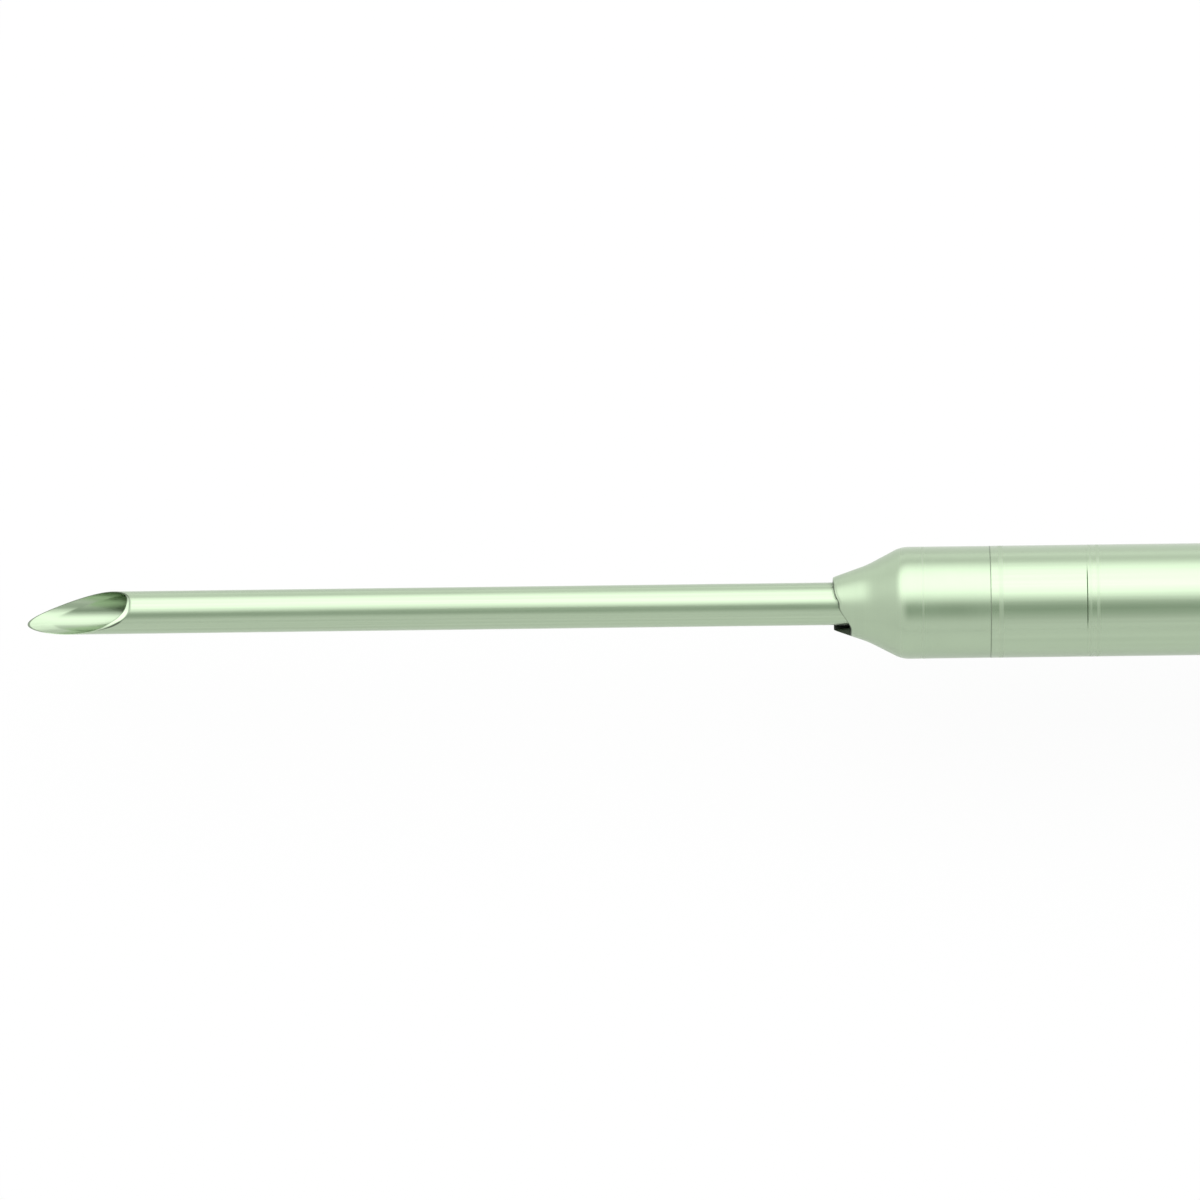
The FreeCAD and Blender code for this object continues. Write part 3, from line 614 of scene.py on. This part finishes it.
def set_back(radius, angle):
    """How far the lip is ground back at this radius and angle, on the half of the mouth towards -Y.

    It is a smooth step across the mouth, and near its top a shallow wave
    depth exp(-((across - place) / width)^2).
    """
    across = radius * np.cos(angle - relief_turn)
    over = radius * np.sin(angle - relief_turn)
    slant = relief_depth * smooth(across, relief_start, relief_end)
    slant = slant + wave_depth * np.exp(-((across - wave_place) / wave_width) ** 2)
    near_side = smooth(over, -relief_blend, relief_blend)
    return slant * near_side * smooth(across, relief_far_side - relief_blend, relief_far_side + relief_blend)


round_nose = columns(nose_columns)
lip_outer = np.full(nose_columns, lip_radius)
for _ in range(settling_rounds):
    lip_start = set_back(lip_outer, round_nose)
    lip_outer = np.interp(lip_start, outline_x, outline_radius)
lip_inner = np.full(nose_columns, mouth_bore)
inner_start = set_back(lip_inner, round_nose)
print("the lip is set back by up to", round(float(lip_start.max()), 2), "mm")

# %% [markdown]
# The nose as one ring
#
# Behind the cone the nose is straight up to the seam. A thinner spigot goes on from there into the tube
# and holds the two together, and the bore closes in a short throat just behind the mouth. The rows
# between the lip and the straight part follow the outline. A subdivision could make them, but would round
# the lip as well. Here they are closer together than the bends need, because a reflection shows any flat
# spot.

# %% The nose
seam_distance = 7.0
spigot_radius, spigot_end = 2.08, 12.0
throat_radius, throat_start, throat_end = 1.74, 3.2, 2.2
outline_rows, last_outline_x = 64, 3.6
seam_shade = 0.35                       # how dark the fine line at the seam is
# The lip under the needle is coloured dark, as painted shade
under_shade = 0.85                      # and the one on the lip under the needle
nose_edges = [0.06, 0.02, 0.02, 0.05, 0.02, 0.02, 0.05, 0.015]    # one for each corner, from the lip round

behind_mouth = [
    (seam_distance, sheath_radius), (seam_distance, spigot_radius), (spigot_end, spigot_radius),
    (spigot_end, throat_radius), (throat_start, throat_radius), (throat_end, mouth_bore),
]
nose_corners = np.concatenate([
    np.stack([lip_start, lip_outer], axis=-1)[None],
    level(behind_mouth, nose_columns),
    np.stack([inner_start, lip_inner], axis=-1)[None],
])
eased = ease(nose_corners, nose_edges, support=1.25)
share = np.linspace(0.01, 1, outline_rows)[:, None]
first_x = eased[0, -1, :, 0]
cone_x = first_x + share * (last_outline_x - first_x)
cone_rows = np.stack([cone_x, np.interp(cone_x, outline_x, outline_radius)], axis=-1)
nose_rows = np.concatenate([eased[0], cone_rows, eased[1:].reshape(-1, nose_columns, 2)])
nose_rows[..., 0] += mouth_x

nose_degrees = np.degrees(round_nose)
# Painted shade: the lip is coloured dark beside and under the needle, where the gap lies in shadow
beside_needle = sector(nose_degrees, 52, 76, 250, 265)
under_needle = sector(nose_degrees, 200, 215, 250, 265)
lip_shades = np.array([1.0, 1.0, 1.0, 0.9, 0.6, 0.1])      # from the lip's face over its rounded edge
nose_line_and_shade_mark = np.zeros((*eased.shape[:2], nose_columns))
nose_line_and_shade_mark[0, :len(lip_shades)] = lip_shades[:, None] * beside_needle
nose_line_and_shade_mark[0, :-1] = np.maximum(nose_line_and_shade_mark[0, :-1], under_shade * under_needle)
nose_line_and_shade_mark[1, 1:-1] = seam_shade
# The throat is coloured dark, as painted shade
nose_line_and_shade_mark[-2:] = 1                                          # the throat
nose_line_and_shade_mark = np.concatenate([nose_line_and_shade_mark[0], np.zeros(cone_x.shape), nose_line_and_shade_mark[1:].reshape(-1, nose_columns)])
nose = carry_round("tapered_nose", nose_rows, "sheath", "nose_cone", {"dark_line_and_shade": nose_line_and_shade_mark})

# %% [markdown]
# The sheath tube
#
# The sheath tube meets the nose in a fine seam, and a ring is scribed 11.3 mm behind the mouth, deeper on
# the near side. A dark texture could draw the ring, but only a real groove catches the light on its far
# edge. The tube is nearly 300 mm long, so a mesh made to a tolerance of its length has too few sides.
# Here it gets 192.

# %% The sheath tube
tube_columns = 192
seam_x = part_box("outer_tube")[0].x / MM
tube_rear_x = 0                         # the front face of the handle
ring_x = mouth_x + 11.3
ring_turn = math.radians(116)           # the ring is deepest here, and fades out on both sides
ring_fade = (0.78, 0.95)                # cosines of the angles from there at which it is shallow and deep
ring_shallow, ring_deep = 0.002, 0.026
tube_edge, groove_edge = 0.02, 0.0004

round_tube = columns(tube_columns)
scribed = ring_shallow + (ring_deep - ring_shallow) * smooth(np.cos(round_tube - ring_turn), *ring_fade)
tube_outside = np.full(tube_columns, sheath_radius)
groove = [
    np.stack([ring_x - scribed, tube_outside], axis=-1),
    np.stack([np.full(tube_columns, ring_x), sheath_radius - scribed], axis=-1),
    np.stack([ring_x + scribed, tube_outside], axis=-1),
]
tube_corners = np.concatenate([
    level([(seam_x, sheath_radius)], tube_columns), groove,
    level([(tube_rear_x, sheath_radius), (tube_rear_x, sheath_bore), (seam_x, sheath_bore)], tube_columns),
])
tube_rows = ease(tube_corners, [tube_edge] + [groove_edge] * 3 + [tube_edge] * 3)
tube_line = np.zeros(tube_rows.shape[:3])
tube_line[0, 1:-1] = seam_shade
# The scribed groove is coloured darker, the deeper the darker
tube_line[2] = smooth(scribed, ring_shallow, ring_deep)
tube = carry_round("sheath_tube", tube_rows.reshape(-1, tube_columns, 2), "sheath", "outer_tube",
                   {"dark_line_and_shade": tube_line})
print("the sheath tube is", round(tube_rear_x - seam_x, 1), "mm long")

# %% [markdown]
# The carrier tube
#
# The needle is held in a ferrule at the front of a longer carrier tube, which slides in the sheath and
# shows at the rear when the needle is drawn back. Its exact solid would do, but its sides are as coarse
# as the sheath's were. A plain turned wall of four corners gives it reflections as clean as the sheath's.

# %% The carrier tube
carrier_radius, carrier_bore = 1.5, 1.2
carrier_columns = 96
carrier_edge = 0.03

carrier_x, carrier_end_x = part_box("inner_tube")[0].x / MM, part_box("inner_tube")[1].x / MM
carrier_corners = level([(carrier_x, carrier_radius), (carrier_end_x, carrier_radius),
                         (carrier_end_x, carrier_bore), (carrier_x, carrier_bore)], carrier_columns)
carrier_rows = ease(carrier_corners, [carrier_edge] * 4).reshape(-1, carrier_columns, 2)
carrier = carry_round("carrier_tube", carrier_rows, "needle", "inner_tube")
print("the carrier tube is", round(carrier_end_x - carrier_x, 1), "mm long")

# %% [markdown]
# Finishes
#
# Every steel piece has the same metal, but its surface tells how it was made: drawn lengthwise, turned in
# fine rings, ground, blasted or plated. Photographed textures would carry their own light, so each finish
# is built from noise that is stretched the way the tool moved. It changes the colour a little, the
# roughness more, and the surface by a thousandth of a millimetre. All sizes are in millimetres, from the
# object's own coordinates.

# %% Base of every finish
steel = (0.41, 0.51, 0.366)


class Finish(Nodes):
    """A material that is being made, with the object's coordinates in millimetres."""

    def __init__(self, name):
        self.material = bpy.data.materials.new(name)
        self.material.use_nodes = True
        super().__init__(self.material.node_tree)
        place = self.add("ShaderNodeTexCoord", output="Object")
        self.place = self.add("ShaderNodeVectorMath", {"operation": "SCALE"}, {0: place, "Scale": 1 / MM})
        self.x, self.y, self.z = [
            self.add("ShaderNodeSeparateXYZ", None, {0: self.place}, output=axis) for axis in "XYZ"
        ]
        self.radius = (self.y * self.y + self.z * self.z) ** 0.5

    def mark(self, name):
        """The mark of this name on the mesh, from 0 to 1."""
        return self.add("ShaderNodeAttribute", {"attribute_name": name}, output="Fac")

    def noise(self, scales, detail=3.0, roughness=0.55, turn=(0, 0, 0), place=None):
        """Noise from 0 to 1, with that many waves in a millimetre along each axis."""
        stretched = self.add("ShaderNodeMapping", None,
                             {"Vector": place or self.place, "Scale": scales, "Rotation": turn})
        return self.add("ShaderNodeTexNoise", None,
                        {"Vector": stretched, "Scale": 1.0, "Detail": detail, "Roughness": roughness})

    def turned_place(self):
        """(x, radius, 0): noise on it makes rings on a turned piece, and circles on its end faces."""
        return self.add("ShaderNodeCombineXYZ", None, {"X": self.x, "Y": self.radius, "Z": 0.0})

    def shades(self, amount, dark, light):
        """A colour between dark and light."""
        return self.add("ShaderNodeMix", {"data_type": "RGBA"},
                        {0: amount, 6: (*dark, 1), 7: (*light, 1)}, output=2)

    def bump(self, height, depth):
        """Surface detail of that depth in micrometres."""
        return self.add("ShaderNodeBump", None,
                        {"Height": height, "Distance": depth * MICROMETRE, "Strength": 1.0})

    def done(self, **sockets):
        """Put the shader on, with the sockets that are named, and return the material."""
        names = {name.replace("_", " "): value for name, value in sockets.items()}
        shader = self.add("ShaderNodeBsdfPrincipled", None, names)
        self.add("ShaderNodeOutputMaterial", None, {"Surface": shader})
        print(self.material.name, "has", len(self.tree.nodes), "nodes")
        return self.material


def tint(colour, factor):
    """The colour made lighter or darker, kept within 0 to 1."""
    return tuple(min(1.0, channel * factor) for channel in colour)


print("half as bright, the steel is", tint(steel, 0.5))

# %% [markdown]
# Polished needle
#
# The needle is drawn, then polished, but not quite to a mirror, so its bright band has soft edges and
# faint streaks along it. The ground face keeps fine scratches along the bevel, and its colour is lighter
# where the wall is full: a painted highlight. The bore stays as the tube was drawn, duller, and a little
# darker. The edges get fine dark lines of painted shade. Four materials on four groups of faces would
# meet in hard lines. The marks on the mesh blend instead, so one finish treats each surface differently.

# %% Needle finish
finish = Finish("polished_needle")
dark_line_and_shade, ground_face_and_highlight, bore = [finish.mark(name) for name in ("dark_line_and_shade", "ground_face_and_highlight", "bore")]
streaks = finish.noise((0.04, 9, 9), detail=4)
scratches = finish.noise((0.6, 40, 40), detail=2)
haze = finish.noise((0.5, 0.8, 0.8))
# The colour carries the ground face's painted highlight and the edges' painted shade
needle_finish = finish.done(
    Base_Color=finish.shades(0.5 + 0.2 * (streaks - 0.5) + 0.5 * ground_face_and_highlight - 0.06 * bore - 0.45 * dark_line_and_shade,
                             tint(steel, 0.2), tint(steel, 1.8)),
    Metallic=1.0,
    Roughness=(0.22 + 0.05 * haze + 0.03 * streaks + ground_face_and_highlight * (0.08 + 0.08 * scratches) + 0.03 * bore
               + 0.2 * dark_line_and_shade),
    Normal=finish.bump(streaks + (0.4 + ground_face_and_highlight + bore) * scratches, 0.4),
)
needle.data.materials.append(needle_finish)

# %% [markdown]
# Bands of softer polish
#
# Beside the seam and beside the scribed ring the photograph has narrow bands where the reflections are
# softer: the metal is rougher there, as soldering and scribing may leave it. They could be marks on the
# mesh too, but two pieces share them, so they go by the distance from the mouth.

# %% Where the metal is rougher
# (first distance, last distance, how much rougher) in mm from the mouth
soft_bands = [(3.95, 4.02, 0.7), (7.36, 7.56, 1.0), (11.4, 11.5, 0.8), (11.72, 11.85, 1.0)]
band_softness = 0.05


def band_roughness(finish):
    """Sum of the narrow bands where the metal is rougher, by the distance from the mouth."""
    from_mouth = finish.x - mouth_x
    parts = [from_mouth.band(low, high, band_softness) * much for low, high, much in soft_bands]
    return parts[0] + parts[1] + parts[2] + parts[3]


print("soft bands:", len(soft_bands))

# %% [markdown]
# Spun nose
#
# The nose is polished on a spindle, so its lines run round. Noise on (x, radius) makes them: it has the
# same value all the way round. The cone is duller than the straight part, so its reflection of the soft
# box fades towards the sheath.

# %% Nose finish
dull_cone = (3.2, 2.7)                  # mm from the mouth, where the duller cone starts and is dullest

finish = Finish("spun_nose")
dark_line_and_shade = finish.mark("dark_line_and_shade")
bands = band_roughness(finish)
on_cone = (finish.x - mouth_x).step(*dull_cone)
rings = finish.noise((14, 14, 1), detail=4, place=finish.turned_place())
haze = finish.noise((0.5, 0.7, 0.7))
# The colour carries the painted shade of the lip and the throat, and the seam's dark line
nose_finish = finish.done(
    Base_Color=finish.shades(0.86 + 0.1 * (haze - 0.5) + 0.08 * (rings - 0.5) - 0.8 * dark_line_and_shade,
                             tint(steel, 0.05), tint(steel, 1.15)),
    Metallic=1.0,
    Roughness=0.18 + 0.06 * haze + 0.04 * rings + 0.1 * on_cone + 0.14 * bands + 0.2 * dark_line_and_shade,
    Normal=finish.bump(rings, 0.5),
)
nose.data.materials.append(nose_finish)

# %% [markdown]
# Drawn sheath
#
# The tube is drawn through a die, which leaves fine lines along it, with broader ones among them. An
# anisotropic shader would only blur the light in one direction. Noise that is stretched along x shows the
# lines themselves, near and far, and two sizes of it keep them from looking ruled.

# %% Sheath finish
finish = Finish("drawn_sheath")
dark_line_and_shade = finish.mark("dark_line_and_shade")
bands = band_roughness(finish)
lines = finish.noise((0.03, 7, 7), detail=5, roughness=0.65)
broad_lines = finish.noise((0.02, 1.6, 1.6), detail=2)
haze = finish.noise((0.15, 0.5, 0.5))
# The colour is darker along the seam and the scribed ring
sheath_finish = finish.done(
    Base_Color=finish.shades(0.85 + 0.16 * (lines - 0.5) + 0.16 * (broad_lines - 0.5) - 0.7 * dark_line_and_shade,
                             tint(steel, 0.1), tint(steel, 1.18)),
    Metallic=1.0,
    Roughness=0.15 + 0.06 * haze + 0.06 * lines + 0.14 * bands + 0.2 * dark_line_and_shade,
    Normal=finish.bump(lines + 0.5 * broad_lines, 1.0),
)
tube.data.materials.append(sheath_finish)
carrier.data.materials.append(sheath_finish)

# %% [markdown]
# Turned steel
#
# The barrel, the collar and the hub come off a lathe: hair-fine rings that widen the highlight along the
# shaft. Hands polish the high places and smear them a little. The grooves stay rougher, and are coloured
# darker, as painted shade and as dirt that stays in them. Pointiness could find the grooves, but it
# depends on the mesh. Here a groove is simply where the radius is smaller.

# %% Turned finish
barrel_radius = 6.0
groove_depths = (0.34, 0.1)             # mm under the barrel's surface, where the grooves count as such
handle_colour = tint(steel, 1.05)

finish = Finish("turned_steel")
rings = finish.noise((7, 1.5, 1), detail=3, roughness=0.6, place=finish.turned_place())
haze = finish.noise((0.2, 0.35, 0.35), detail=4)
smears = finish.noise((0.5, 1.1, 1.1), detail=4)
groove_dirt_and_shade = finish.radius.band(barrel_radius - groove_depths[0], barrel_radius - groove_depths[1], 0.05)
turned_steel = finish.done(
    # The grooves are coloured darker, as painted shade and as dirt
    Base_Color=finish.shades(0.45 + 0.4 * rings + 0.25 * haze - 0.5 * groove_dirt_and_shade,
                             tint(handle_colour, 0.42), tint(handle_colour, 1.05)),
    Metallic=1.0,
    Roughness=0.17 + 0.07 * rings + 0.1 * haze.step(0.4, 0.7) + 0.05 * smears + 0.14 * groove_dirt_and_shade,
    Normal=finish.bump(rings, 1.2),
)

# %% [markdown]
# Brushed flange
#
# The finger flange is a flat plate, brushed from wing to wing on a belt. An image of brushed steel would
# need its place on each face worked out. Noise in the object's own space is the same on all of them: the
# belt's lines run along y, so the noise is long in y and short in x and z.

# %% Flange finish
finish = Finish("brushed_flange")
brushing = finish.noise((6, 0.25, 9), detail=5, roughness=0.7)
haze = finish.noise((0.3, 0.2, 0.2), detail=4)
brushed_flange = finish.done(
    Base_Color=finish.shades(0.6 * brushing + 0.3 * haze + 0.05, tint(handle_colour, 0.62),
                             tint(handle_colour, 1.08)),
    Metallic=1.0,
    Roughness=0.2 + 0.12 * brushing + 0.08 * haze,
    Normal=finish.bump(brushing, 1.8),
)

# %% [markdown]
# Blasted grips
#
# The nuts and the thumb disc are blasted with glass beads for grip: an even, pitted grey. Fingers wear
# their crests smoother and brighter. The floors of the flutes ahead of the thumb disc are coloured
# darker, as painted shade. Crest and flute are told apart by radius, as the barrel's grooves are.

# %% Grip finish
nut_radius = 6.6
disc_radius = 7.5
flute_floor = 5.9                       # radius of the flutes' floor
disc_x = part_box("thumb_disc")[0].x / MM

finish = Finish("blasted_grip")
beads = finish.noise((16, 16, 16), detail=2, roughness=0.5)
patches = finish.noise((0.5, 0.6, 0.6), detail=4)
nut_crest = finish.radius.band(nut_radius - 0.07, nut_radius + 0.02, 0.03)
disc_crest = finish.radius.step(disc_radius - 0.08, disc_radius - 0.01)
crest = nut_crest + disc_crest
ahead_of_disc = finish.x.step(disc_x - 0.3, disc_x - 0.6)
recess_shade = finish.radius.band(flute_floor, nut_radius - 0.2, 0.06) * ahead_of_disc
blasted_grip = finish.done(
    # The flutes' floors are coloured darker, as painted shade
    Base_Color=finish.shades(0.3 + 0.15 * beads + 0.2 * patches + 0.35 * crest - 0.3 * recess_shade,
                             tint(handle_colour, 0.4), tint(handle_colour, 1.0)),
    Metallic=1.0,
    Roughness=0.4 + 0.08 * beads + 0.07 * patches - 0.16 * crest,
    Normal=finish.bump(beads * (1 - 0.7 * crest), 9.0),
)

# %% [markdown]
# Plated tap
#
# The stopcock, its lever and the connector are plated and buffed. They would look like plastic if they
# were perfect, so they carry faint wiping marks, fine scratches in two directions, and a slight waviness
# from the buffing wheel. Scratches show only where both directions are strong, which breaks them into
# short strokes.

# %% Tap finish
finish = Finish("plated_tap")
wipes = finish.noise((0.35, 0.8, 0.5), detail=5, turn=(0.3, 0.2, 0.6))
waves = finish.noise((0.5, 0.5, 0.5), detail=1)
scratches_one = finish.noise((0.25, 26, 26), detail=2, turn=(0.2, 0.4, 0.7))
scratches_two = finish.noise((24, 0.3, 24), detail=2, turn=(0.5, 0.1, 0.3))
scratched = (scratches_one * scratches_two).step(0.3, 0.42)
plated_tap = finish.done(
    Base_Color=finish.shades(0.5 * wipes + 0.3 * waves + 0.1, tint(steel, 0.98), tint(steel, 1.3)),
    Metallic=1.0,
    Roughness=0.04 + 0.1 * wipes.step(0.45, 0.75) + 0.07 * scratched,
    Normal=finish.bump(waves * 6 + scratched * 0.25, 1.0),
)

# %% [markdown]
# Waxy plastic
#
# The guide, the glide rings and the washers are a white fluoropolymer: waxy, a little cloudy, with
# turning marks. Little of them shows, but they are seen through the slot and in every exploded view.

# %% Fluoropolymer finish
finish = Finish("white_fluoropolymer")
rings = finish.noise((8, 8, 1), detail=3, place=finish.turned_place())
cloud = finish.noise((0.8, 0.8, 0.8), detail=3)
white_fluoropolymer = finish.done(
    Base_Color=finish.shades(0.5 * cloud + 0.3 * rings, (0.78, 0.78, 0.74), (0.88, 0.88, 0.86)),
    Roughness=0.38 + 0.1 * rings + 0.06 * cloud,
    Normal=finish.bump(rings, 2.0),
)

# %% [markdown]
# Moulded rubber
#
# The gland seal is red silicone and the collar's ring black nitrile. Both are moulded, with a fine grain
# from the mould and a dusty bloom in patches, so one function makes both and only the colours and the
# gloss differ.

# %% Rubber finishes
def moulded(name, dark, light, gloss):
    """Rubber with a fine moulded grain and a paler bloom in patches."""
    finish = Finish(name)
    grain = finish.noise((12, 12, 12), detail=2)
    bloom = finish.noise((0.9, 1.2, 1.2), detail=5)
    return finish.done(
        Base_Color=finish.shades(0.35 * grain + 0.65 * bloom.step(0.4, 0.8), dark, light),
        Roughness=gloss + 0.12 * bloom + 0.06 * grain,
        Normal=finish.bump(grain, 4.0),
    )


red_silicone = moulded("red_silicone", (0.50, 0.10, 0.06), (0.62, 0.20, 0.14), 0.48)
black_nitrile = moulded("black_nitrile", (0.018, 0.018, 0.018), (0.05, 0.05, 0.05), 0.42)

# %% [markdown]
# Dressing the exact solids
#
# The other pieces keep their exact meshes, whose normals are already smooth on round faces. Each one only
# gets its finish, by what it is made of and how. The four solids that a new surface replaces get one too,
# because they are still there, unseen.

# %% Give each solid its finish
finish_of = {
    turned_steel: ["needle_ferrule", "travel_stop", "hub_sleeve", "shaft_collar", "handle_barrel",
                   "plug_washer"],
    brushed_flange: ["finger_flange"],
    blasted_grip: ["shaft_nut", "lock_nut", "thumb_disc"],
    plated_tap: ["guide_pin", "stopcock_body", "stop_pin", "luer_connector", "stopcock_plug",
                 "stopcock_lever", "plug_nut"],
    white_fluoropolymer: ["glide_ring_front", "glide_ring_middle", "glide_ring_rear", "luer_washer",
                          "needle_guide", "gland_washer"],
    red_silicone: ["gland_seal"],
    black_nitrile: ["collar_o_ring"],
    needle_finish: ["needle_cannula"],
    sheath_finish: ["inner_tube", "outer_tube"],
    nose_finish: ["nose_cone"],
}
for material, names in finish_of.items():
    for name in names:
        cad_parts[name].material_slots[0].material = material
print("dressed", sum(len(names) for names in finish_of.values()), "of", len(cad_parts), "solids")
